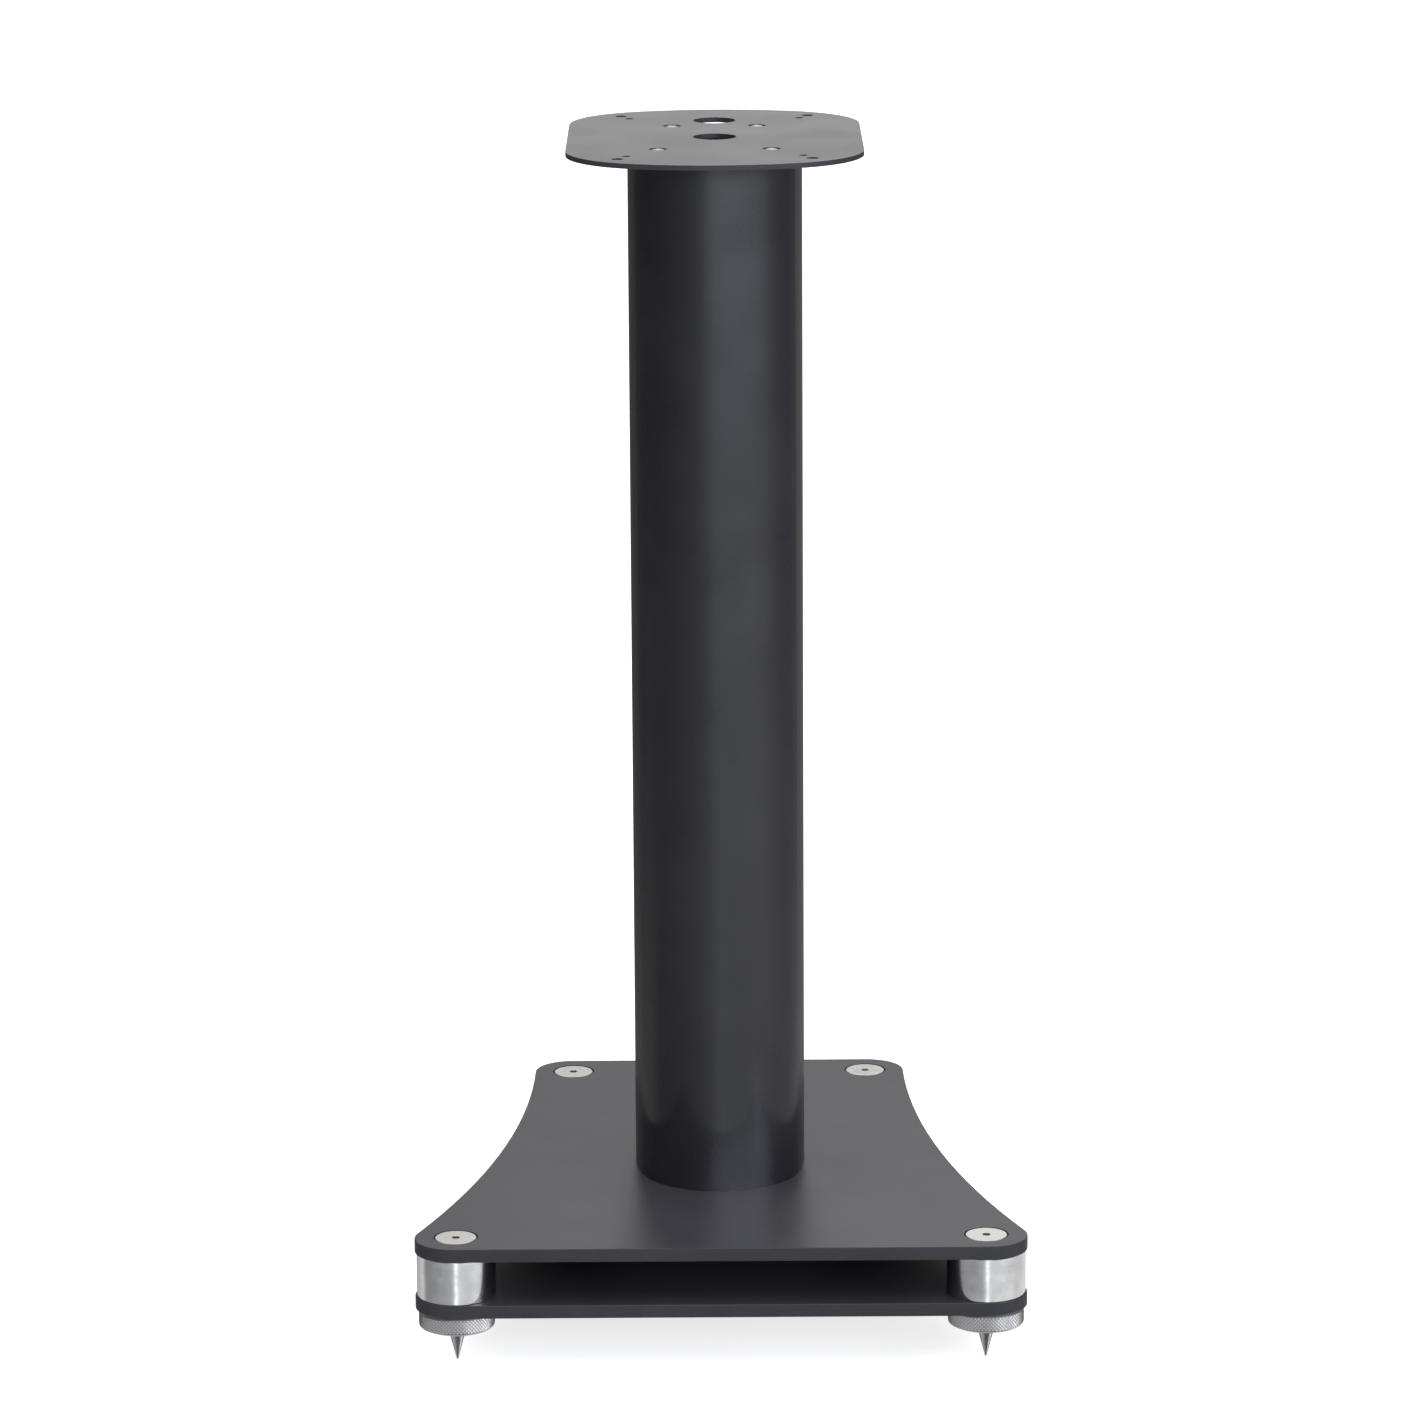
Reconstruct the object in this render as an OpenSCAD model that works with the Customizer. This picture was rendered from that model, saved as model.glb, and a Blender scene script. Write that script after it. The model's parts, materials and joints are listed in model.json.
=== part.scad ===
// Floor stand for a loudspeaker: an egg-section column between a thin top plate and a
// two-storey base, carried on four spikes that are levelled by knurled thumb wheels.
// The front faces -Y and the floor is at z = 0.

/* [Stand] */
// Height from the spike tips to the top face
stand_h = 610; // [450:1:800]
// Distance of the column's widest line in front of the middle of the base
column_forward = 14.75; // [0:0.25:40]

/* [Top plate] */
// Width of the top plate
top_w = 150.4; // [130:0.2:180]
// Depth of the top plate
top_d = 203; // [190:0.5:230]
// Thickness of the top plate
top_t = 2.6; // [2:0.1:6]
// Distance of the plate's middle behind the column's widest line
top_back = 3.5; // [0:0.1:8]
// Radius of the bowed front and rear edges
top_bow_r = 130; // [115:1:200]
// Radius of the corners
top_corner_r = 50; // [30:1:60]
// Diameter of the filling hole and of the cable hole
cable_hole_d = 22; // [12:0.5:24]
// Distance of the cable hole behind the filling hole
cable_hole_back = 60.3; // [56:0.1:75]

/* [Loudspeaker fixing holes] */
// Distance of the outer holes from the sides of the top plate
outer_hole_side = 26.5; // [22:0.1:34]
// Distance of the outer holes from the front and rear edges of the top plate
outer_hole_end = 24; // [20:0.1:30]
// Diameter of the outer holes
outer_hole_d = 6; // [4:0.1:8]
// Distance of the inner holes from the outer ones, sideways
inner_hole_step_w = 4.45; // [3:0.05:8]
// Distance of the inner holes from the outer ones, front to rear
inner_hole_step_d = 9.5; // [7:0.1:14]
// Diameter of the inner holes
inner_hole_d = 4.2; // [3:0.1:5]

/* [Column] */
// Greatest width of the column
column_w = 89.5; // [86:0.1:96]
// Radius of the column's nose
nose_r = 42.2; // [38:0.1:43]
// Distance from the widest line to the tip of the nose
nose_reach = 57.7; // [54:0.1:64]
// Distance from the widest line to the rear face
rear_reach = 52.5; // [48:0.1:58]
// Radius of the gently bowed rear face
rear_r = 100; // [80:1:160]
// Radius of the two rear corners
rear_corner_r = 24; // [18:0.5:28]
// Distance of the flanks' widest point behind the widest line of the nose
flank_back = 4; // [0:0.5:8]
// Wall of the extruded column
column_wall = 2.5; // [1.5:0.1:4]
// Wall of each screw port round its bore
port_wall = 2.2; // [1.5:0.1:3]

/* [Column screws] */
// Diameter of the screws' shank
screw_d = 5; // [4:0.1:6]
// Diameter of the countersinks at the face of a plate
screw_sink_d = 9.4; // [8:0.1:11]
// Diameter of the raised heads that hold the top plate
raised_head_d = 8.6; // [7:0.1:9.2]
// Height of the dome on a raised head
raised_head_h = 0.9; // [0.4:0.05:1.2]
// Length of a screw that holds the top plate
top_screw_l = 16; // [10:0.5:40]
// Length of a screw that holds the column to the base
base_screw_l = 25; // [16:0.5:50]
// Width of the front pair of screws
front_screws_w = 57.2; // [50:0.1:60]
// Distance of the front pair in front of the column's widest line
front_screws_y = 39.8; // [34:0.1:42]
// Width of the rear pair of screws
rear_screws_w = 44; // [36:0.1:48]
// Distance of the rear pair behind the column's widest line
rear_screws_y = 44; // [40:0.1:45]
// Size across the flats of the screws' hexagon socket
screw_key = 3; // [2:0.5:4]

/* [Base plates] */
// Width of the base across its front corners
base_front_w = 312.8; // [260:0.2:380]
// Width of the base across its rear corners
base_rear_w = 204.4; // [170:0.2:240]
// Depth of the base
base_d = 329.5; // [290:0.5:380]
// Radius of the base's corners
base_corner_r = 20; // [12:0.5:24]
// Radius of the hollow sides of the base
base_side_r = 817; // [600:1:1600]
// Thickness of each base plate
base_t = 7; // [5:0.1:10]

/* [Feet] */
// Distance of a foot's axis from the side of the base at its corner
foot_inset_side = 21.1; // [21:0.1:30]
// Distance of a foot's axis from the front or rear edge of the base
foot_inset_end = 20.3; // [20.3:0.1:30]
// Diameter of the polished spacers
spacer_d = 40.4; // [30:0.1:40.4]
// Height of the gap between the base plates
spacer_h = 23; // [16:0.5:34]
// Diameter of the foot bolt's flat head
bolt_head_d = 21.8; // [16:0.1:24]
// Height of the foot bolt's head
bolt_head_h = 2.6; // [2:0.1:4]
// Bevel round the face of the foot bolt's head
bolt_bevel = 0.5; // [0.3:0.05:1.2]
// Diameter of the recess that takes the foot bolt's head
bolt_recess_d = 22.7; // [18:0.1:26]
// Depth of the head's face below the plate
bolt_sunk = 0.15; // [0:0.05:1]
// Diameter of the foot bolt's shank
bolt_d = 8; // [6:0.5:10]
// Size across the flats of the foot bolt's hexagon socket
bolt_key = 4; // [3:0.5:6]
// Depth of the foot bolt's hexagon socket
bolt_socket_h = 4; // [2:0.5:6]
// Outer diameter of the foot bush's barrel
bush_d = 14; // [12:0.5:18]
// Depth of the foot bush's barrel in the spacer
bush_reach = 9; // [5:0.5:12]
// Diameter of the spike's stem
spike_d = 8; // [6:0.5:10]
// Length of the spike below the thumb wheel
spike_drop = 18.6; // [14:0.1:26]
// Length of the spike's cone
spike_cone_h = 14; // [10:0.5:18]
// Radius of the blunted spike tip
spike_tip_r = 0.4; // [0.2:0.1:1]
// Diameter of the knurled thumb wheels
wheel_d = 39; // [28:0.1:42]
// Height of a thumb wheel
wheel_h = 9.4; // [6:0.1:14]
// Running gap between a thumb wheel and the base
wheel_gap = 0.4; // [0.3:0.1:2]
// Chamfer of a thumb wheel's rims
wheel_chamfer = 0.8; // [0.3:0.1:1.5]
// Number of diamonds in one row of a thumb wheel's knurl
knurl_diamonds = 60; // [48:1:72]
// Height of the knurl's diamonds
knurl_depth = 0.5; // [0.3:0.05:0.7]

/* [Hidden] */
$fn = 144;
hex_sides = 6;
// Play on the radius: a turning thread, a screw seated in its hole or thread, and a
// plain hole round a shank
thread_play = 0.08;
seat_play = 0.05;
hole_play = 0.2;
// How far a cut runs past the face that it opens
overrun = 1;
// Bevels of the small turned pieces
fine_bevel = 0.5;
spacer_bevel = 0.35;
socket_depth_share = 0.65;
// Depth of a bolt's and a bush's tapped hole beyond the thread's end
tap_spare = 1;
// Length of the foot bolt's shank in the spacer
bolt_reach = 9;
// How far the spike's stem ends below the top of its bush
stem_short = 0.6;
// Half steps in the height of the knurl, and how deep its ring sits in the wheel
knurl_rows = 5;
knurl_seat = 0.3;
// The bush's flange fills the same recess as the foot bolt's head
bush_flange_d = bolt_head_d;
bush_flange_h = bolt_head_h;

// Heights, from the floor up
wheel_z = spike_drop;
lower_plate_z = wheel_z + wheel_h + wheel_gap;
spacer_z = lower_plate_z + base_t;
upper_plate_z = spacer_z + spacer_h;
column_z = upper_plate_z + base_t;
top_plate_z = stand_h - top_t;
column_h = top_plate_z - column_z;
column_y = -column_forward;
top_y = column_y + top_back;

// Sizes of the two hole patterns in the top plate
outer_holes_w = top_w - 2 * outer_hole_side;
outer_holes_d = top_d - 2 * outer_hole_end;
inner_holes_w = outer_holes_w - 2 * inner_hole_step_w;
inner_holes_d = outer_holes_d - 2 * inner_hole_step_d;

// Places of the feet and of the column's screws
foot_front_y = -base_d / 2 + foot_inset_end;
foot_rear_y = base_d / 2 - foot_inset_end;
foot_front_x = base_front_w / 2 - foot_inset_side;
foot_rear_x = base_rear_w / 2 - foot_inset_side;
screw_places = [[-front_screws_w / 2, -front_screws_y], [front_screws_w / 2, -front_screws_y],
                [-rear_screws_w / 2, rear_screws_y], [rear_screws_w / 2, rear_screws_y]];

// Where two circles meet: the point on the right of the line from a to b
function meet(a, ra, b, rb) =
    let (d = norm(b - a), u = (b - a) / d, along = (d * d + ra * ra - rb * rb) / (2 * d),
         aside = sqrt(ra * ra - along * along))
    a + u * along + [u[1], -u[0]] * aside;

// A slice of a disc between the directions from its centre to two points
module disc_slice(centre, r, p, q)
    intersection() {
        translate(centre) circle(r);
        polygon([centre, centre + (p - centre) * slice_stretch(centre, r, p),
                 centre + ((p - centre) / norm(p - centre) + (q - centre) / norm(q - centre)) * r * 2,
                 centre + (q - centre) * slice_stretch(centre, r, q)]);
    }
function slice_stretch(centre, r, p) = 2 * r / norm(p - centre);

module both_sides() {
    children();
    mirror([1, 0]) children();
}
module front_and_rear() {
    children();
    mirror([0, 1]) children();
}

// The column's section is a chain of arcs that run smoothly into each other:
// a nose, two long flanks, two rear corners and a gently bowed rear face.
nose_centre = [0, nose_r - nose_reach];
flank_r = (pow(column_w / 2, 2) + pow(flank_back - nose_centre[1], 2) - nose_r * nose_r)
          / (column_w - 2 * nose_r);
flank_centre = [column_w / 2 - flank_r, flank_back];
rear_centre = [0, rear_reach - rear_r];
corner_centre = meet(rear_centre, rear_r - rear_corner_r, flank_centre, flank_r - rear_corner_r);

module column_outline(inset = 0) {
    translate(nose_centre) circle(nose_r - inset);
    disc_slice(rear_centre, rear_r - inset, corner_centre,
               [-corner_centre[0], corner_centre[1]]);
    both_sides() {
        translate(corner_centre) circle(rear_corner_r - inset);
        intersection() {
            disc_slice(flank_centre, flank_r - inset, nose_centre, corner_centre);
            translate([0, -nose_reach]) square([column_w, nose_reach + rear_reach]);
        }
    }
}

module column_section() {
    port_bore = screw_d / 2 + seat_play;
    difference() {
        column_outline();
        difference() {
            column_outline(column_wall);
            for (place = screw_places) translate(place) circle(port_bore + port_wall);
        }
        for (place = screw_places) translate(place) circle(port_bore);
    }
}

// The top plate has straight sides, wide round corners and bowed ends.
top_corner_x = top_w / 2 - top_corner_r;
top_corner_y = top_d / 2 - top_bow_r
               + sqrt(pow(top_bow_r - top_corner_r, 2) - pow(top_corner_x, 2));
module top_outline() {
    bow_centre = [0, top_d / 2 - top_bow_r];
    front_and_rear() {
        disc_slice(bow_centre, top_bow_r, [top_corner_x, top_corner_y],
                   [-top_corner_x, top_corner_y]);
        both_sides() {
            translate([top_corner_x, top_corner_y]) circle(top_corner_r);
            polygon([[0, 0], [top_w / 2, 0], [top_w / 2, top_corner_y],
                     [top_corner_x, top_corner_y], [0, top_corner_y]]);
        }
    }
}

// The base has straight ends, round corners and hollow sides.
front_corner = [base_front_w / 2 - base_corner_r, -base_d / 2 + base_corner_r];
rear_corner = [base_rear_w / 2 - base_corner_r, base_d / 2 - base_corner_r];
side_centre = meet(front_corner, base_side_r + base_corner_r,
                   rear_corner, base_side_r + base_corner_r);
function touch(corner) =
    corner + (side_centre - corner) * base_corner_r / norm(side_centre - corner);
module base_outline() {
    both_sides() {
        translate(front_corner) circle(base_corner_r);
        translate(rear_corner) circle(base_corner_r);
        difference() {
            polygon([[0, -base_d / 2], [front_corner[0], -base_d / 2], front_corner,
                     touch(front_corner), touch(rear_corner), rear_corner,
                     [rear_corner[0], base_d / 2], [0, base_d / 2]]);
            translate(side_centre) circle(base_side_r);
        }
    }
}

// A countersunk screw in a plate whose face is at z = 0, with its shank downwards.
// The head's rim lies as deep as its diameter puts it in the countersink, and its
// face may be domed.
module sunk_screw(l, head_d, dome_h = 0) {
    rim_z = (head_d - screw_sink_d) / 2;
    head_h = (head_d - screw_d) / 2;
    dome_r = (head_d * head_d / 4 + dome_h * dome_h) / (2 * max(dome_h, fine_bevel));
    difference() {
        rotate_extrude() {
            polygon([[0, rim_z], [head_d / 2, rim_z], [screw_d / 2, rim_z - head_h],
                     [screw_d / 2, -l], [0, -l]]);
            if (dome_h > 0) intersection() {
                translate([0, rim_z + dome_h - dome_r]) circle(dome_r);
                translate([0, rim_z]) square([head_d / 2, dome_h]);
            }
        }
        translate([0, 0, rim_z - head_h * socket_depth_share])
            cylinder(h = head_h + dome_h, r = screw_key / sqrt(3), $fn = hex_sides);
    }
}
// The hole that takes it, from a face at z = 0 down through a plate
module sunk_screw_hole(t) {
    hole_r = screw_d / 2 + seat_play;
    rim_r = screw_sink_d / 2 + seat_play;
    rotate_extrude() polygon([[0, overrun], [rim_r, overrun], [rim_r, 0],
                              [hole_r, hole_r - rim_r], [hole_r, -t - overrun],
                              [0, -t - overrun]]);
}

module hole_pattern(w, d, hole_d)
    for (x = [-w / 2, w / 2], y = [-d / 2, d / 2])
        translate([x, y]) circle(hole_d / 2);

module top_plate() color("dimgray")
    difference() {
        translate([0, top_y, top_plate_z]) linear_extrude(top_t) difference() {
            top_outline();
            circle(cable_hole_d / 2);
            translate([0, cable_hole_back]) circle(cable_hole_d / 2);
            hole_pattern(outer_holes_w, outer_holes_d, outer_hole_d);
            hole_pattern(inner_holes_w, inner_holes_d, inner_hole_d);
        }
        for (place = screw_places) translate([place[0], column_y + place[1], stand_h])
            sunk_screw_hole(top_t);
    }

module top_plate_screws() color("silver")
    for (place = screw_places) translate([place[0], column_y + place[1], stand_h])
        sunk_screw(top_screw_l, raised_head_d, raised_head_h);

module column() color([0.16, 0.17, 0.2])
    translate([0, column_y, column_z]) linear_extrude(column_h) column_section();

module column_base_screws() color("silver")
    for (place = screw_places) translate([place[0], column_y + place[1], upper_plate_z])
        mirror([0, 0, 1]) sunk_screw(base_screw_l, screw_sink_d);

module at_feet()
    for (side = [-1, 1]) {
        translate([side * foot_front_x, foot_front_y, 0]) children();
        translate([side * foot_rear_x, foot_rear_y, 0]) children();
    }

module upper_base_plate() color("dimgray")
    difference() {
        translate([0, 0, upper_plate_z]) linear_extrude(base_t) base_outline();
        at_feet() {
            translate([0, 0, column_z - bolt_sunk - bolt_head_h])
                cylinder(h = bolt_head_h + overrun, r = bolt_recess_d / 2);
            translate([0, 0, upper_plate_z - overrun])
                cylinder(h = base_t + overrun, r = bolt_d / 2 + hole_play);
        }
        for (place = screw_places) translate([place[0], column_y + place[1], upper_plate_z])
            mirror([0, 0, 1]) sunk_screw_hole(base_t);
    }

module lower_base_plate() color("dimgray")
    difference() {
        translate([0, 0, lower_plate_z]) linear_extrude(base_t) base_outline();
        at_feet() {
            translate([0, 0, lower_plate_z - overrun])
                cylinder(h = bush_flange_h + overrun, r = bolt_recess_d / 2);
            translate([0, 0, lower_plate_z])
                cylinder(h = base_t + overrun, r = bush_d / 2 + hole_play);
        }
    }

// Turned ring profile with bevelled rims, from z = 0 up
module bevelled_round(r, h, bevel)
    rotate_extrude() polygon([[0, 0], [r - bevel, 0], [r, bevel], [r, h - bevel],
                              [r - bevel, h], [0, h]]);

module spacer() color("gainsboro")
    translate([0, 0, spacer_z]) difference() {
        bevelled_round(spacer_d / 2, spacer_h, spacer_bevel);
        translate([0, 0, spacer_h - bolt_reach - tap_spare])
            cylinder(h = bolt_reach + tap_spare + overrun, r = bolt_d / 2 + seat_play);
        translate([0, 0, -overrun])
            cylinder(h = bush_reach + tap_spare + overrun, r = bush_d / 2 + seat_play);
    }

module foot_bolt() color("gainsboro") {
    face_z = column_z - bolt_sunk;
    difference() {
        union() {
            translate([0, 0, face_z - bolt_head_h]) rotate_extrude()
                polygon([[0, 0], [bolt_head_d / 2, 0],
                         [bolt_head_d / 2, bolt_head_h - bolt_bevel],
                         [bolt_head_d / 2 - bolt_bevel, bolt_head_h], [0, bolt_head_h]]);
            translate([0, 0, upper_plate_z - bolt_reach])
                cylinder(h = face_z - upper_plate_z + bolt_reach - bolt_head_h / 2, r = bolt_d / 2);
        }
        translate([0, 0, face_z - bolt_socket_h])
            cylinder(h = bolt_socket_h + overrun, r = bolt_key / sqrt(3), $fn = hex_sides);
    }
}

// Flanged bush that clamps the lower plate to the spacer and carries the spike's thread
module foot_bush() color("silver")
    translate([0, 0, lower_plate_z]) difference() {
        union() {
            cylinder(h = bush_flange_h, r = bush_flange_d / 2);
            cylinder(h = base_t + bush_reach, r = bush_d / 2);
        }
        translate([0, 0, -overrun])
            cylinder(h = base_t + bush_reach + 2 * overrun, r = spike_d / 2 + thread_play);
    }

module spike() color("gray") {
    stem_top = spacer_z + bush_reach - stem_short;
    rotate_extrude() polygon([[0, 0], [spike_tip_r, 0], [spike_d / 2, spike_cone_h],
                              [spike_d / 2, stem_top - fine_bevel],
                              [spike_d / 2 - fine_bevel, stem_top], [0, stem_top]]);
}

// The wheel's rim is gripped by a diamond knurl: V grooves that lean both ways and
// cross leave a ring of four-sided points. On a grid of half steps every other corner
// is a point and the rest lie in the grooves, and each cell folds along its groove.
module knurled_ring(tip_r, root_r, inner_r, low, high) {
    n = 2 * knurl_diamonds;
    rows = knurl_rows;
    function around(r, i, z) = [r * cos(i * 360 / n), r * sin(i * 360 / n), z];
    function at(i, j) = j * n + i % n;
    function inside(i, end) = (rows + 1 + end) * n + i % n;
    function in_groove(i, j) = j == 0 || j == rows || (i + j) % 2 == 0;
    points = [
        for (j = [0 : rows], i = [0 : n - 1])
            around(in_groove(i, j) ? root_r : tip_r, i, low + (high - low) * j / rows),
        for (end = [0, 1], i = [0 : n - 1])
            around(inner_r, i, end == 0 ? low : high)];
    faces = [
        for (j = [0 : rows - 1], i = [0 : n - 1])
            if ((i + j) % 2 == 0) [at(i, j), at(i + 1, j + 1), at(i + 1, j)],
        for (j = [0 : rows - 1], i = [0 : n - 1])
            if ((i + j) % 2 == 0) [at(i, j), at(i, j + 1), at(i + 1, j + 1)],
        for (j = [0 : rows - 1], i = [0 : n - 1])
            if ((i + j) % 2 == 1) [at(i, j), at(i, j + 1), at(i + 1, j)],
        for (j = [0 : rows - 1], i = [0 : n - 1])
            if ((i + j) % 2 == 1) [at(i + 1, j), at(i, j + 1), at(i + 1, j + 1)],
        for (i = [0 : n - 1])
            [at(i, 0), at(i + 1, 0), inside(i + 1, 0), inside(i, 0)],
        for (i = [0 : n - 1])
            [at(i + 1, rows), at(i, rows), inside(i, 1), inside(i + 1, 1)],
        for (i = [0 : n - 1])
            [inside(i, 0), inside(i + 1, 0), inside(i + 1, 1), inside(i, 1)]];
    polyhedron(points, faces);
}

module thumb_wheel() color("silver") {
    root_r = wheel_d / 2 - knurl_depth;
    translate([0, 0, wheel_z]) difference() {
        union() {
            bevelled_round(root_r - knurl_seat, wheel_h, wheel_chamfer);
            knurled_ring(wheel_d / 2, root_r, root_r - 2 * knurl_seat,
                         wheel_chamfer, wheel_h - wheel_chamfer);
        }
        translate([0, 0, -overrun])
            cylinder(h = wheel_h + 2 * overrun, r = spike_d / 2 + thread_play);
    }
}

module front_left() translate([-foot_front_x, foot_front_y, 0]) children();
module front_right() translate([foot_front_x, foot_front_y, 0]) children();
module rear_left() translate([-foot_rear_x, foot_rear_y, 0]) children();
module rear_right() translate([foot_rear_x, foot_rear_y, 0]) children();

top_plate();
top_plate_screws();
column();
column_base_screws();
upper_base_plate();
lower_base_plate();
front_left() spacer();  // spacer_front_left
front_right() spacer();  // spacer_front_right
rear_left() spacer();  // spacer_rear_left
rear_right() spacer();  // spacer_rear_right
front_left() foot_bolt();  // foot_bolt_front_left
front_right() foot_bolt();  // foot_bolt_front_right
rear_left() foot_bolt();  // foot_bolt_rear_left
rear_right() foot_bolt();  // foot_bolt_rear_right
front_left() foot_bush();  // foot_bush_front_left
front_right() foot_bush();  // foot_bush_front_right
rear_left() foot_bush();  // foot_bush_rear_left
rear_right() foot_bush();  // foot_bush_rear_right
front_left() spike();  // spike_front_left
front_right() spike();  // spike_front_right
rear_left() spike();  // spike_rear_left
rear_right() spike();  // spike_rear_right
front_left() thumb_wheel();  // thumb_wheel_front_left
front_right() thumb_wheel();  // thumb_wheel_front_right
rear_left() thumb_wheel();  // thumb_wheel_rear_left
rear_right() thumb_wheel();  // thumb_wheel_rear_right
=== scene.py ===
# %% [markdown]
# A loudspeaker stand in Blender
#
# The stand is already built as solids: a thin drilled plate on an egg-section column, over
# two base plates held apart by polished spacers, on four levelling spikes. This lesson
# dresses those solids. It rounds their edges, cuts a finer knurl than the solids have, and
# gives every piece its finish, then lights and frames the stand as in a plain catalogue
# picture.

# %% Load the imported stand
import json
import math

import bmesh
import bpy
from mathutils import Matrix, Vector


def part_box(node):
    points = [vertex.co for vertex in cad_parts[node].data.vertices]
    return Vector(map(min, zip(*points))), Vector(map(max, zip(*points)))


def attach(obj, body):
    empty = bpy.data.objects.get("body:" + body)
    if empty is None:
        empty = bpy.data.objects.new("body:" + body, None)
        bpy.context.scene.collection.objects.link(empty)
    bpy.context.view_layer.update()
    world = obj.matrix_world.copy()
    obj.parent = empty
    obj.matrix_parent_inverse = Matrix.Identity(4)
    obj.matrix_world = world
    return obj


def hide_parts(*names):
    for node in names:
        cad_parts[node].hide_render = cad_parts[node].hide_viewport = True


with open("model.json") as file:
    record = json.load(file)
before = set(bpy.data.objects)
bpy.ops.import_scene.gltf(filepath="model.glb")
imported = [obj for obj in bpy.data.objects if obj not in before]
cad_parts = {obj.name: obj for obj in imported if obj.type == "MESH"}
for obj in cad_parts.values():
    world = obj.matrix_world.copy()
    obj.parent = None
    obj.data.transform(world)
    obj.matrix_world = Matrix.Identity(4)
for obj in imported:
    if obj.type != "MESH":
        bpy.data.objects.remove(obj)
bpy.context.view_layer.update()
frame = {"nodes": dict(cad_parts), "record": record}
nodes = frame["nodes"]
MM = 0.001

# %% [markdown]
# ## Where the feet are
#
# Every foot is a stack on one upright axis: a foot bolt, a spacer, a bush, a spike and a
# thumb wheel. Turned metal carries rings round that axis, so the finishes need it. It is
# the middle of each spike's box.

# %% Find the four foot axes
CORNERS = ["front_left", "front_right", "rear_left", "rear_right"]


def middle(node):
    low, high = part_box(node)
    return [(a + b) / 2 for a, b in zip(low, high)]


foot_axis = {corner: middle("spike_" + corner)[:2] for corner in CORNERS}
for corner, (x, y) in foot_axis.items():
    print(f"{corner}: {x / MM:.1f}, {y / MM:.1f} mm")

# %% [markdown]
# ## A bench for node trees
#
# Finishes, floor and studio are all small node trees. These helpers keep their wiring
# short: each one adds a node, feeds it with numbers or with other nodes, and hands back
# its output.

# %% Helpers for any node tree
class Nodes:
    """A node tree, with short ways to add to it."""

    def __init__(self, tree):
        self.tree = tree

    def node(self, kind, **settings):
        made = self.tree.nodes.new(kind)
        for key, value in settings.items():
            setattr(made, key, value)
        return made

    def link(self, start, end):
        self.tree.links.new(start, end)

    def feed(self, socket, value):
        """Sets the socket to a number or colour, or links another node's output to it."""
        if isinstance(value, (int, float, tuple)):
            socket.default_value = value
        else:
            self.link(value, socket)

    def split(self, vector):
        """The X, Y and Z of a vector."""
        made = self.node("ShaderNodeSeparateXYZ")
        self.link(vector, made.inputs["Vector"])
        return made.outputs

    def math(self, operation, a, b=0.0):
        made = self.node("ShaderNodeMath", operation=operation)
        for socket, value in zip(made.inputs, (a, b)):
            self.feed(socket, value)
        return made.outputs["Value"]

    def map_range(self, value, start, end, low, high, curve="LINEAR"):
        """Goes from low to high as value goes from start to end, and stops there."""
        made = self.node("ShaderNodeMapRange", interpolation_type=curve)
        for name, number in (("From Min", start), ("From Max", end),
                             ("To Min", low), ("To Max", high)):
            made.inputs[name].default_value = number
        self.link(value, made.inputs["Value"])
        return made.outputs["Result"]

    def mix(self, factor, a, b):
        """A colour between a and b, as factor goes from 0 to 1."""
        made = self.node("ShaderNodeMix", data_type="RGBA")
        for name, value in (("Factor", factor), ("A", a), ("B", b)):
            self.feed(made.inputs[name], value)
        return made.outputs["Result"]


# %% [markdown]
# ## A bench for finishes
#
# Every finish is one shader with a few textures in front of it. A finish can add a noise at
# a size given in millimetres, and turn a texture into a bump of a height given in
# millimetres. Sizes in real units keep the grain true at any distance. A noise seldom
# leaves the middle of its range, so that middle is spread over the tones or levels wanted.

# %% Helpers for the finishes
NOISE_LOW = 0.3
NOISE_HIGH = 0.7


class Finish(Nodes):
    """A material with its shader, and short ways to texture it."""

    def __init__(self, name):
        self.material = bpy.data.materials.new(name)
        self.material.use_nodes = True
        super().__init__(self.material.node_tree)
        self.shader = self.tree.nodes["Principled BSDF"]
        self.place = self.node("ShaderNodeTexCoord").outputs["Object"]

    def set(self, name, value):
        """Feeds one of the shader's sockets."""
        self.feed(self.shader.inputs[name], value)

    def noise(self, size_mm, detail):
        """Grain about size_mm across."""
        made = self.node("ShaderNodeTexNoise")
        made.inputs["Scale"].default_value = 1 / (size_mm * MM)
        made.inputs["Detail"].default_value = detail
        self.link(self.place, made.inputs["Vector"])
        return made.outputs["Fac"]

    def spread(self, noise, low, high):
        return self.map_range(noise, NOISE_LOW, NOISE_HIGH, low, high)

    def tint(self, tone, dark, light):
        return self.mix(tone, (*dark, 1), (*light, 1))

    def bump(self, texture, height_mm, under=None):
        made = self.node("ShaderNodeBump")
        made.inputs["Distance"].default_value = height_mm * MM
        made.inputs["Strength"].default_value = 1.0
        self.link(texture, made.inputs["Height"])
        if under:
            self.link(under, made.inputs["Normal"])
        self.link(made.outputs["Normal"], self.shader.inputs["Normal"])
        return made.outputs["Normal"]


def ring_distance(finish):
    """The distance from the nearest foot's axis."""
    place = finish.split(finish.place)
    in_front = finish.math("LESS_THAN", place["Y"], 0.0)

    def axis_of(front, rear):
        """The front foot's value in front of the middle, and the rear foot's behind it."""
        return finish.math("ADD", finish.math("MULTIPLY", in_front, front - rear), rear)

    front_x, front_y = foot_axis["front_right"]
    rear_x, rear_y = foot_axis["rear_right"]
    dx = finish.math("SUBTRACT", finish.math("ABSOLUTE", place["X"]), axis_of(front_x, rear_x))
    dy = finish.math("SUBTRACT", place["Y"], axis_of(front_y, rear_y))
    squares = finish.math("ADD", finish.math("MULTIPLY", dx, dx), finish.math("MULTIPLY", dy, dy))
    return finish.math("SQRT", squares)


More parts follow.
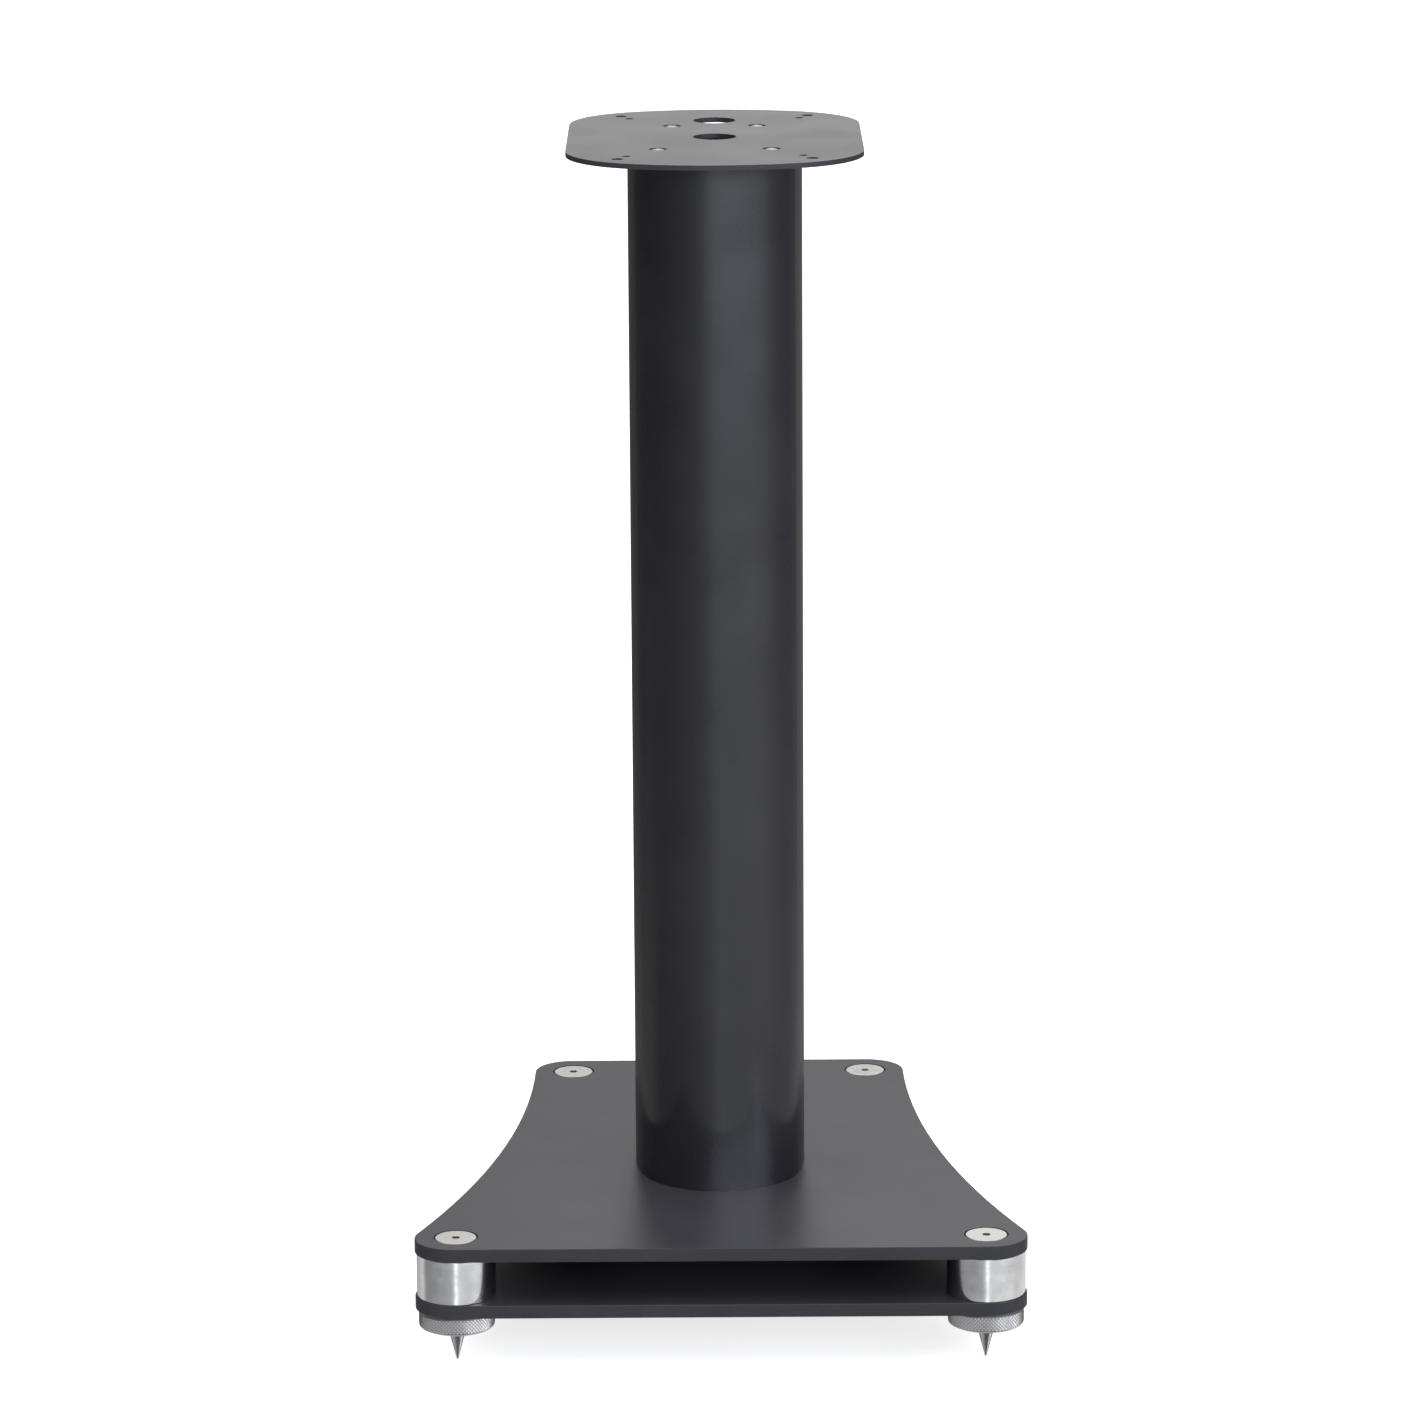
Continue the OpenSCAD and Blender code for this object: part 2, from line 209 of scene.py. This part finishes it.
# %% [markdown]
# ## Satin powder coat
#
# The plates and the column wear a dark satin coat. Powder melts into a film that is never
# quite flat: it has a soft orange peel a millimetre or two across and a fine sandy grain.
# Two noises make the bump, and a wide, weak one lets the roughness and the tone wander, as
# they do where a film is thicker or has been handled. The column's coat is blacker and
# glossier: its colour is nearly black, and a high index makes the sheen that shows its
# round shape.

# %% Make the coats
PATCH_MM = 38
GRAIN_MM = 0.35
PEEL_HEIGHT_MM = 0.006
GRAIN_HEIGHT_MM = 0.003
PATCH_ROUGHNESS = 0.02
GRAIN_ROUGHNESS = 0.03


def satin_coat(name, dark, light, rough, index, peel_mm):
    coat = Finish(name)
    patches = coat.noise(PATCH_MM, detail=4)
    coat.set("Base Color", coat.tint(coat.spread(patches, 0, 1), dark, light))
    grain = coat.noise(GRAIN_MM, detail=2)
    in_patches = coat.spread(patches, rough - PATCH_ROUGHNESS, rough + PATCH_ROUGHNESS)
    in_grain = coat.spread(grain, -GRAIN_ROUGHNESS, GRAIN_ROUGHNESS)
    coat.set("Roughness", coat.math("ADD", in_patches, in_grain))
    coat.set("IOR", index)
    peel = coat.bump(coat.noise(peel_mm, detail=1), PEEL_HEIGHT_MM)
    coat.bump(grain, GRAIN_HEIGHT_MM, under=peel)
    print(f"{name}: roughness {rough}, index {index}")
    return coat.material


plate_coat = satin_coat("plate_satin_coat", (0.031, 0.030, 0.037), (0.037, 0.036, 0.043),
                        rough=0.37, index=1.40, peel_mm=1.8)
column_coat = satin_coat("column_satin_coat", (0.006, 0.006, 0.0105), (0.009, 0.009, 0.0135),
                         rough=0.31, index=2.0, peel_mm=1.6)

# %% [markdown]
# ## Turned and polished metal
#
# A lathe leaves fine rings round the axis of each foot. On a flat face they are circles, so
# they follow the distance from the axis; on an upright wall they are level lines, so they
# follow the height. One helper makes both, from a noise that is stretched until only one
# direction is left. The pieces differ in colour, roughness, ring width and depth of cut.
#
# The rings bring up to six tenths of the way from the dark tone to the light one, and a
# soft cloud the other four. Stains let the cloud pull towards the dark as well. The knurled
# metal gets its colours later, with the knurl.

# %% Make the metals
CLOUD_MM = 6
CLOUD_ROUGHNESS = 0.03
RING_ROUGHNESS = (-0.03, 0.05)
RING_TONE = 0.6
CLOUD_TONE = 0.4


def turned_metal(name, colours, rough, face_ring_mm, wall_ring_mm, cut_mm, stains=0.0):
    metal = Finish(name)
    metal.set("Metallic", 1.0)
    cuts = metal.node("ShaderNodeCombineXYZ")
    for axis, where, ring_mm in (("X", ring_distance(metal), face_ring_mm),
                                 ("Z", metal.split(metal.place)["Z"], wall_ring_mm)):
        metal.link(metal.math("MULTIPLY", where, 1 / (ring_mm * MM)), cuts.inputs[axis])
    lines = metal.node("ShaderNodeTexNoise")
    lines.inputs["Scale"].default_value = 1.0
    lines.inputs["Detail"].default_value = 2.0
    metal.link(cuts.outputs["Vector"], lines.inputs["Vector"])
    rings = lines.outputs["Fac"]
    cloud = metal.noise(CLOUD_MM, detail=3)
    if colours:
        tone = metal.math("ADD", metal.spread(rings, 0.0, RING_TONE),
                          metal.spread(cloud, -stains, CLOUD_TONE))
        metal.set("Base Color", metal.tint(tone, *colours))
    in_cloud = metal.spread(cloud, rough - CLOUD_ROUGHNESS, rough + CLOUD_ROUGHNESS)
    metal.set("Roughness", metal.math("ADD", in_cloud, metal.spread(rings, *RING_ROUGHNESS)))
    metal.bump(rings, cut_mm)
    print(f"{name}: roughness {rough}, cuts {cut_mm} mm deep")
    return metal


polished_aluminium = turned_metal("polished_aluminium", ((0.74, 0.74, 0.75), (0.86, 0.86, 0.86)),
                                  rough=0.15, face_ring_mm=0.25, wall_ring_mm=0.12,
                                  cut_mm=0.0008)
polished_aluminium.set("Anisotropic", 0.7)
bolt_nickel = turned_metal("turned_nickel", ((0.58, 0.57, 0.55), (0.70, 0.69, 0.67)),
                           rough=0.28, face_ring_mm=0.30, wall_ring_mm=0.2, cut_mm=0.003,
                           stains=0.3)
knurl_aluminium = turned_metal("knurled_aluminium", None,
                               rough=0.33, face_ring_mm=0.3, wall_ring_mm=0.5, cut_mm=0.001)
spike_steel = turned_metal("ground_steel", ((0.23, 0.23, 0.235), (0.33, 0.325, 0.32)),
                           rough=0.42, face_ring_mm=0.3, wall_ring_mm=0.15, cut_mm=0.003,
                           stains=0.4)
bush_brass = turned_metal("turned_brass", ((0.55, 0.40, 0.19), (0.74, 0.57, 0.30)),
                          rough=0.30, face_ring_mm=0.3, wall_ring_mm=0.25, cut_mm=0.003,
                          stains=0.4)

# %% [markdown]
# The column's screws are zinc plated: a pale, slightly cloudy grey with a faint blue cast,
# without turning marks that a viewer could see at this size.

# %% Make the zinc plate
ZINC_DARK = (0.57, 0.58, 0.59)
ZINC_LIGHT = (0.73, 0.74, 0.75)
BLOOM_MM = 1.6
CRYSTAL_MM = 0.25
CRYSTAL_HEIGHT_MM = 0.004
ZINC_ROUGHNESS = (0.40, 0.50)

zinc = Finish("zinc_plate")
zinc.set("Metallic", 1.0)
bloom = zinc.noise(BLOOM_MM, detail=4)
zinc.set("Base Color", zinc.tint(zinc.spread(bloom, 0, 1), ZINC_DARK, ZINC_LIGHT))
zinc.set("Roughness", zinc.spread(bloom, *ZINC_ROUGHNESS))
zinc.bump(zinc.noise(CRYSTAL_MM, detail=2), CRYSTAL_HEIGHT_MM)
print(f"zinc_plate: roughness {ZINC_ROUGHNESS[0]} to {ZINC_ROUGHNESS[1]}")

# %% [markdown]
# ## Rounded edges
#
# No real edge is sharp. Laser-cut plate is deburred before coating, and the coat itself
# rounds it, which is what draws the thin light line along the base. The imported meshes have
# knife edges and are cut into triangles. A copy with its flat triangles merged can take
# a bevel: the bevel then meets only true edges. Drilled edges near a foot's axis, where the
# bolts and bushes sit, get a smaller one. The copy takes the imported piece's place.

# %% Round the edges of the plates
ROUND_MM = {"top_plate": 0.2, "upper_base_plate": 0.5, "lower_base_plate": 0.5}
DRILLED_ROUND_MM = 0.12
DRILLED_R = 14 * MM
SAME_POINT = 0.002 * MM
FLAT_DEG = 0.5
SHARP_DEG = 35
ROUND_STEPS = 3

body_of_node = {node: body for body, members in frame["record"]["behaviour"]["bodies"].items()
                for node in members}


def new_piece(name, mesh, material):
    """An object with one material, in the scene."""
    mesh.materials.clear()
    mesh.materials.append(material)
    piece = bpy.data.objects.new(name, mesh)
    bpy.context.collection.objects.link(piece)
    return piece


def take_place(piece, node):
    """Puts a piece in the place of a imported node, on the same body."""
    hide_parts(node)
    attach(piece, body_of_node[node])


def nearest_foot(point):
    return min(math.dist(point[:2], axis) for axis in foot_axis.values())


def round_edges(node, round_mm, material):
    mesh = nodes[node].data.copy()
    work = bmesh.new()
    work.from_mesh(mesh)
    bmesh.ops.remove_doubles(work, verts=work.verts, dist=SAME_POINT)
    bmesh.ops.dissolve_limit(work, angle_limit=math.radians(FLAT_DEG), verts=work.verts,
                             edges=work.edges)
    work.normal_update()
    sharp = [e for e in work.edges if len(e.link_faces) == 2
             and e.calc_face_angle() > math.radians(SHARP_DEG)]
    drilled = [e for e in sharp if nearest_foot(e.verts[0].co) < DRILLED_R]
    for edges, width in ((set(sharp) - set(drilled), round_mm), (drilled, DRILLED_ROUND_MM)):
        bmesh.ops.bevel(work, geom=list(edges), offset=width * MM, offset_type="OFFSET",
                        segments=ROUND_STEPS, profile=0.5, affect="EDGES",
                        clamp_overlap=True, harden_normals=False)
    for face in work.faces:
        face.smooth = True
    work.to_mesh(mesh)
    work.free()
    piece = new_piece(node + "_finished", mesh, material)
    evened = piece.modifiers.new("even_flats", "WEIGHTED_NORMAL")
    evened.mode = "FACE_AREA"
    evened.weight = 100
    take_place(piece, node)
    print(f"{piece.name}: {len(sharp)} sharp edges rounded by {round_mm} mm, "
          f"{len(mesh.polygons)} faces")


for node, round_mm in ROUND_MM.items():
    round_edges(node, round_mm, plate_coat)

# %% [markdown]
# ## Knurled thumb wheels
#
# A knurl is rolled into the rim by two wheels that lean opposite ways. It leaves rows of
# small four-sided points, a little under two millimetres apart here. A texture would only
# shade them, so the points are built: a ring of corners on a grid of half steps, every
# other one on the crest and the rest in the grooves, and each cell folded along its groove.
# Shade is painted into the grooves: the metal's colour gets darker with the distance below
# the crests. The wheel's flat faces lie inside the grooves' floor, and get no painted shade.

# %% Cut the knurled wheels
WHEEL_R = 19.5 * MM
BORE_R = 4.08 * MM
KNURL_POINTS = 66
KNURL_HALF_ROWS = 8
KNURL_DEPTH = 0.18 * MM
ROOT_R = WHEEL_R - KNURL_DEPTH
CHAMFER = 0.8 * MM
# The grooves' colour is painted shade, and the crests keep the metal's full colour.
GROOVE_SHADE = (0.50, 0.50, 0.51)
CREST = (1.0, 1.0, 1.0)
SHADE_FROM = ROOT_R - 0.05 * MM
UNSHADED_TO = ROOT_R - 0.10 * MM


def paint_groove_shade(metal):
    """Paints shade into the knurl's grooves, darker below the crests; crests and flat faces keep
    the full colour.
    """
    reach = ring_distance(metal)
    unshaded_on_crest = metal.map_range(reach, ROOT_R, WHEEL_R, 0.0, 1.0)
    unshaded_on_face = metal.map_range(reach, UNSHADED_TO, SHADE_FROM, 1.0, 0.0)
    metal.set("Base Color", metal.tint(metal.math("MAXIMUM", unshaded_on_crest, unshaded_on_face), GROOVE_SHADE, CREST))


def knurled_wheel(corner):
    low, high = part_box("thumb_wheel_" + corner)
    axis_x, axis_y = foot_axis[corner]
    count = 2 * KNURL_POINTS
    work = bmesh.new()

    def ring(radius_of, z):
        return [work.verts.new((axis_x + radius_of(i) * math.cos(math.tau * i / count),
                                axis_y + radius_of(i) * math.sin(math.tau * i / count), z))
                for i in range(count)]

    z_low, z_high = low[2] + CHAMFER, high[2] - CHAMFER
    rings = [ring(lambda i: BORE_R, low[2]), ring(lambda i: ROOT_R - CHAMFER, low[2])]
    first_knurl = len(rings)
    for row in range(KNURL_HALF_ROWS + 1):
        at_end = row in (0, KNURL_HALF_ROWS)
        rings.append(ring(lambda i: ROOT_R if at_end or (i + row) % 2 == 0 else WHEEL_R,
                          z_low + (z_high - z_low) * row / KNURL_HALF_ROWS))
    last_knurl = len(rings) - 1
    rings += [ring(lambda i: ROOT_R - CHAMFER, high[2]), ring(lambda i: BORE_R, high[2])]
    for index, a in enumerate(rings):
        b = rings[(index + 1) % len(rings)]
        in_knurl = first_knurl <= index < last_knurl
        for i in range(count):
            j = (i + 1) % count
            if not in_knurl:
                work.faces.new((a[i], a[j], b[j], b[i]))
            elif (i + index - first_knurl) % 2 == 0:
                work.faces.new((a[i], a[j], b[j]))
                work.faces.new((a[i], b[j], b[i]))
            else:
                work.faces.new((a[i], a[j], b[i]))
                work.faces.new((a[j], b[j], b[i]))
    bmesh.ops.recalc_face_normals(work, faces=work.faces)
    mesh = bpy.data.meshes.new("knurled_wheel_" + corner)
    work.to_mesh(mesh)
    work.free()
    wheel = new_piece("knurled_wheel_" + corner, mesh, knurl_aluminium.material)
    take_place(wheel, "thumb_wheel_" + corner)
    print(f"{wheel.name}: {len(mesh.polygons)} faces")


paint_groove_shade(knurl_aluminium)
for corner in CORNERS:
    knurled_wheel(corner)

# %% [markdown]
# ## Raised heads in their sinks
#
# The four screws in the top plate have domed heads whose rims lie a little below the plate,
# so a dark crescent of the sink shows behind each head. They come as one mesh, so its points
# are sorted by screw first. Then the copy lets every rim down its own cone. The dome goes
# down less, the nearer it is to the screw's middle.

# %% Let the top screws' rims down
RIM_DROP = 0.55 * MM
HEAD_R = 4.6 * MM
SCREW_SPAN = 12 * MM


def sorted_by_screw(points):
    """Groups of points that lie within one screw's width of each other."""
    groups = []
    for point in points:
        for group in groups:
            if math.dist(point.co[:2], group[0].co[:2]) < SCREW_SPAN:
                group.append(point)
                break
        else:
            groups.append([point])
    return groups


def lower_rims(node, material):
    mesh = nodes[node].data.copy()
    screws = sorted_by_screw(mesh.vertices)
    for screw in screws:
        xs = [point.co.x for point in screw]
        ys = [point.co.y for point in screw]
        axis_x = (min(xs) + max(xs)) / 2
        axis_y = (min(ys) + max(ys)) / 2
        for point in screw:
            outward = Vector((point.co.x - axis_x, point.co.y - axis_y, 0))
            share = outward.length / HEAD_R
            point.co -= outward * (RIM_DROP / HEAD_R) + Vector((0, 0, RIM_DROP * share))
    piece = new_piece(node + "_lowered", mesh, material)
    take_place(piece, node)
    print(f"{piece.name}: {len(screws)} screws")


lower_rims("top_plate_screws", zinc.material)

# %% [markdown]
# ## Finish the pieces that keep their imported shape
#
# The column, the spacers, bolts, bushes and spikes and the four screws under the column are
# right as they came, so they only change their finish.

# %% Assign the finishes
def finish_node(name, material):
    mesh = nodes[name].data
    mesh.materials.clear()
    mesh.materials.append(material)
    print(name, "->", material.name)


finish_node("column", column_coat)
finish_node("column_base_screws", zinc.material)
for corner in CORNERS:
    finish_node("spacer_" + corner, polished_aluminium.material)
    finish_node("foot_bolt_" + corner, bolt_nickel.material)
    finish_node("foot_bush_" + corner, bush_brass.material)
    finish_node("spike_" + corner, spike_steel.material)

# %% [markdown]
# ## Floor and studio
#
# The picture is a cut-out on white. A large pale floor runs far behind the stand, so that it
# fills the view up to the top. Its glow for camera rays brings it to white and still lets
# a soft shadow show under the base.

# %% Lay the floor
FLOOR_LEFT = -12.0
FLOOR_RIGHT = 12.0
FLOOR_FRONT = -6.0
FLOOR_REAR = 24.0
FLOOR_GREY = 0.6
FLOOR_ROUGHNESS = 0.9
FLOOR_GLOW = 0.75

floor_mesh = bpy.data.meshes.new("floor")
floor_mesh.from_pydata([(FLOOR_LEFT, FLOOR_FRONT, 0), (FLOOR_RIGHT, FLOOR_FRONT, 0),
                        (FLOOR_RIGHT, FLOOR_REAR, 0), (FLOOR_LEFT, FLOOR_REAR, 0)],
                       [], [(0, 1, 2, 3)])
paint = Finish("pale_floor")
paint.set("Base Color", (FLOOR_GREY, FLOOR_GREY, FLOOR_GREY, 1))
paint.set("Roughness", FLOOR_ROUGHNESS)
paint.set("Specular IOR Level", 0.0)
paint.set("Emission Color", (1, 1, 1, 1))
seen_by_camera = paint.node("ShaderNodeLightPath").outputs["Is Camera Ray"]
paint.set("Emission Strength", paint.math("MULTIPLY", seen_by_camera, FLOOR_GLOW))
floor = new_piece("floor", floor_mesh, paint.material)
print(f"floor: {FLOOR_RIGHT - FLOOR_LEFT:.0f} x {FLOOR_REAR - FLOOR_FRONT:.0f} m")

# %% [markdown]
# The studio is a ring of surroundings at different levels. Polished metal shows it like a
# mirror, so the stripes on each part tell how bright the studio is in the direction that the
# part mirrors. The camera looks down a little, so the spacers mirror a narrow ring below the
# horizon, the wheels what lies far below it, and the column what lies at it. One colour ramp
# for each of these heights holds the levels round the stand.
#
# The first number of a row is a turn in degrees, as seen from the stand: 0 points at the
# camera, and more is further to the right of the picture. The next three are the levels far
# below the horizon, below it and at it, and the last one says how cool the light is.

# %% List the surroundings
TURN, FAR_BELOW, BELOW, HORIZON, COOL = range(5)
SURROUNDINGS = [(-180, 0.60, 0.50, 0.25, 0.97), (-172, 0.60, 0.50, 0.14, 0.97),
                (-150, 1.20, 0.48, 0.08, 0.97), (-136, 1.90, 0.58, 0.05, 0.97),
                (-112, 2.50, 0.88, 0.05, 0.98), (-98, 2.50, 0.38, 0.06, 1.00),
                (-80, 2.00, 0.40, 0.07, 1.01), (-60, 1.10, 0.48, 0.09, 1.02),
                (-25, 0.45, 0.59, 0.13, 1.03), (-9, 0.22, 0.72, 0.17, 1.04),
                (-4, 0.18, 1.05, 0.18, 1.04), (0, 0.18, 2.60, 0.19, 1.05),
                (4, 0.15, 1.90, 0.20, 1.05), (9, 0.15, 1.12, 0.20, 1.04),
                (45, 0.05, 1.15, 0.22, 1.02), (60, 1.40, 1.15, 0.22, 1.02),
                (75, 7.00, 1.06, 0.20, 1.01), (96, 8.00, 0.88, 0.15, 0.99),
                (112, 4.50, 0.88, 0.12, 0.98), (140, 0.60, 0.88, 0.11, 0.97),
                (168, 0.60, 0.74, 0.28, 0.97), (180, 0.60, 0.50, 0.25, 0.97)]
BRIGHTEST = max(max(row[FAR_BELOW:COOL]) for row in SURROUNDINGS)
print(f"{len(SURROUNDINGS)} directions, brightest level {BRIGHTEST}")

# %% [markdown]
# The world's texture coordinate is the direction that a ray goes, as a vector of length one.
# Its Z is the height: 0 is the horizon and 1 is straight up. The turn comes from X and Y,
# and picks the place on a colour ramp.

# %% Read the direction of a ray
world = bpy.data.worlds.new("studio")
bpy.context.scene.world = world
world.use_nodes = True
world.node_tree.nodes.clear()
studio = Nodes(world.node_tree)
direction = studio.split(studio.node("ShaderNodeTexCoord").outputs["Generated"])
height = direction["Z"]
turn = studio.math("ARCTAN2", direction["X"], studio.math("MULTIPLY", direction["Y"], -1.0))
share_of_turn = studio.math("ADD", studio.math("DIVIDE", turn, math.tau), 0.5)


def fade(value, band, low=0.0, high=1.0):
    return studio.map_range(value, *band, low, high, curve="SMOOTHSTEP")


def grey(level):
    share = level / BRIGHTEST
    return (share, share, share, 1)


def level_ramp(column):
    """A ring of levels round the stand, from one column of the list."""
    ramp = studio.node("ShaderNodeValToRGB")
    stops = ramp.color_ramp.elements
    while len(stops) < len(SURROUNDINGS):
        stops.new(0.5)
    for stop, row in zip(stops, SURROUNDINGS):
        share = row[column] / BRIGHTEST
        cool = math.sqrt(row[COOL])
        stop.position = (row[TURN] + 180) / 360
        stop.color = (share / cool, share, share * cool, 1)
    studio.link(share_of_turn, ramp.inputs["Fac"])
    return ramp.outputs["Color"]


print("world:", world.name)

# %% [markdown]
# Most mixes below fade from what lies lower to what lies higher, over a band of heights.
# The spikes taper, so they mirror the ground near the stand, which is paler on the left than
# on the right. A dim backdrop stands behind. The sky above fades to an even overhead light,
# which mirrors show weaker, so that pale metal doesn't go white. The camera itself sees
# plain white. The floor is hidden from mirrors, because the world below the horizon stands
# for it there.

# %% Build the studio from the ground up
NEAR_GROUND_FADE = (-0.74, -0.68)
FAR_BELOW_FADE = (-0.61, -0.51)
RING_LOWER_FADE = (-0.355, -0.338)
RING_UPPER_FADE = (-0.313, -0.302)
SKY_FADE = (0.50, 0.90)
GROUND_SIDE_FADE = (-0.65, -0.20)
GROUND_LEFT = 2.2
GROUND_RIGHT = 0.35
BEHIND_FADE = (0.86, 0.93)
BACKDROP_FOOT_FADE = (-0.02, 0.04)
BACKDROP_FADE = (0.10, 0.30)
BACKDROP_LOW = 0.45
BACKDROP_TOP = 0.40
OVERHEAD = 2.5
MIRRORED_OVERHEAD = 1.2

in_ring = studio.math("MULTIPLY", fade(height, RING_LOWER_FADE),
                      fade(height, RING_UPPER_FADE, 1.0, 0.0))
walls = studio.mix(in_ring, level_ramp(HORIZON), level_ramp(BELOW))
walls = studio.mix(fade(height, FAR_BELOW_FADE), level_ramp(FAR_BELOW), walls)
ground = studio.mix(fade(direction["X"], GROUND_SIDE_FADE), grey(GROUND_LEFT),
                    grey(GROUND_RIGHT))
walls = studio.mix(fade(height, NEAR_GROUND_FADE), ground, walls)
behind = studio.math("MULTIPLY", fade(direction["Y"], BEHIND_FADE),
                     fade(height, BACKDROP_FOOT_FADE))
backdrop = studio.mix(fade(height, BACKDROP_FADE), grey(BACKDROP_LOW), grey(BACKDROP_TOP))
rays = studio.node("ShaderNodeLightPath").outputs
overhead = studio.mix(rays["Is Glossy Ray"], grey(OVERHEAD), grey(MIRRORED_OVERHEAD))
sky = studio.mix(fade(height, SKY_FADE), studio.mix(behind, walls, backdrop), overhead)
background = studio.node("ShaderNodeBackground")
studio.feed(background.inputs["Color"], studio.mix(rays["Is Camera Ray"], sky, grey(1)))
background.inputs["Strength"].default_value = BRIGHTEST
output = studio.node("ShaderNodeOutputWorld")
studio.link(background.outputs["Background"], output.inputs["Surface"])
floor.visible_glossy = False
print(f"overhead level {OVERHEAD}, {MIRRORED_OVERHEAD} in mirrors")

# %% [markdown]
# Two soft boxes finish the light. The wide one stands in front to the right, a little higher
# than the stand. It draws the broad sheen down the column, which fades towards the foot,
# where the coat mirrors less of the box. The small one hangs behind the stand. The top plate
# and the base mirror it towards the camera, which makes them paler than the column, and it
# hangs too high to be seen in the gap between the two base plates.

# %% Hang the soft boxes
def soft_box(name, centre, width, tall, level, facing, colour):
    """A level of 1 makes the box as bright as white paper in the picture."""
    light = bpy.data.lights.new(name, "AREA")
    light.shape = "RECTANGLE"
    light.size = width
    light.size_y = tall
    light.energy = level * math.pi * width * tall
    light.color = colour
    lamp = bpy.data.objects.new(name, light)
    bpy.context.collection.objects.link(lamp)
    lamp.location = centre
    lamp.rotation_euler = Vector(facing).to_track_quat("-Z", "Y").to_euler()
    print(f"{name}: {width} x {tall} m, {light.energy:.0f} W")


soft_box("box_front", centre=(1.68, -2.82, 1.32), width=5.8, tall=0.9, level=6.0,
         facing=(-0.53, 0.85, 0), colour=(0.96, 1.0, 1.14))
soft_box("box_behind", centre=(0.15, 1.60, 0.86), width=0.80, tall=0.54, level=1.19,
         facing=(0, -1, 0), colour=(1.0, 0.99, 0.97))

# %% [markdown]
# ## Camera
#
# The picture was taken with a long lens from three metres, a little above the stand and
# level from side to side but for a hair of lean.

# %% Place the camera
CAMERA_AT_MM = (-4.8, -3065.0, 1042.4)
LENS_MM = 152.85
SENSOR_MM = 36.0
LOOK_DOWN_DEG = 13.489
LEAN_DEG = -0.34
FARTHEST_M = 100

camera_data = bpy.data.cameras.new("camera")
camera_data.lens = LENS_MM
camera_data.sensor_width = SENSOR_MM
camera_data.clip_end = FARTHEST_M
camera = bpy.data.objects.new("camera", camera_data)
bpy.context.collection.objects.link(camera)
camera.matrix_world = (Matrix.Translation([value * MM for value in CAMERA_AT_MM])
                       @ Matrix.Rotation(math.radians(90 - LOOK_DOWN_DEG), 4, "X")
                       @ Matrix.Rotation(math.radians(LEAN_DEG), 4, "Z"))
bpy.context.scene.camera = camera
bpy.context.scene.view_settings.view_transform = "Standard"
print(f"camera: {LENS_MM} mm lens, looking down {LOOK_DOWN_DEG} degrees")
